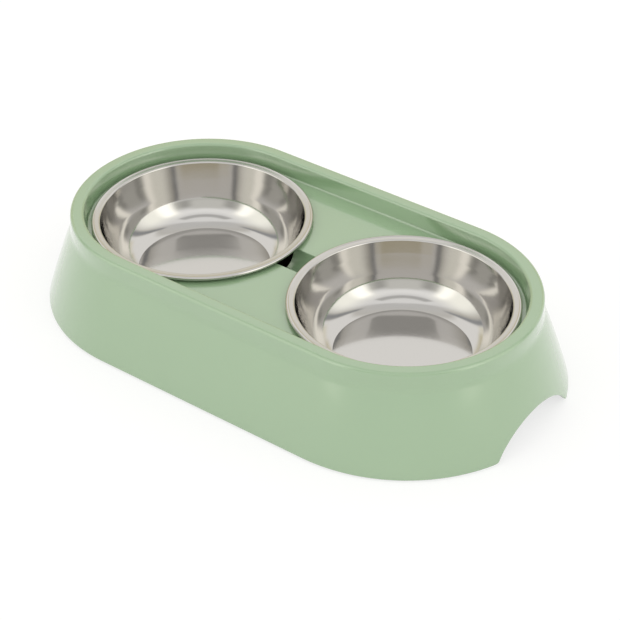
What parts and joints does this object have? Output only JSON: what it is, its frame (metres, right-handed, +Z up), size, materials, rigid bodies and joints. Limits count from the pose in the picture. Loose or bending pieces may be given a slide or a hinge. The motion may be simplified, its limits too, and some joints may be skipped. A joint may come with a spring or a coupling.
{
  "type": "double pet bowl",
  "caption": "Flared stadium-shaped plastic stand with two lift-out steel bowls side by side, a finger groove between them and an arched hand hold in each end.",
  "frame": {"origin": "middle of the object's footprint, on the plane of the feet's bottoms", "axes": "+X along the stand towards the right bowl, -Y towards the front long side, +Z up out of the bowls"},
  "size_m": [0.3356, 0.1954, 0.0618],
  "materials": {
    "stand_plastic": "semi-gloss sage green moulding",
    "bowl_steel": "mirror-polished inside, satin ring",
    "foot_rubber": "soft matte"
  },
  "bodies": {
    "stand": {"stand": "stand_plastic", "front_left_foot": "foot_rubber", "front_right_foot": "foot_rubber", "back_left_foot": "foot_rubber", "back_right_foot": "foot_rubber"},
    "left_bowl": {"left_bowl": "bowl_steel"},
    "right_bowl": {"right_bowl": "bowl_steel"}
  },
  "joints": [
    {"name": "left_bowl_lift", "type": "slide", "parent": "stand", "child": "left_bowl", "axis": [0, 0, 1], "range_m": [0, 0.06]},
    {"name": "right_bowl_lift", "type": "slide", "parent": "stand", "child": "right_bowl", "axis": [0, 0, 1], "range_m": [0, 0.06]}
  ]
}
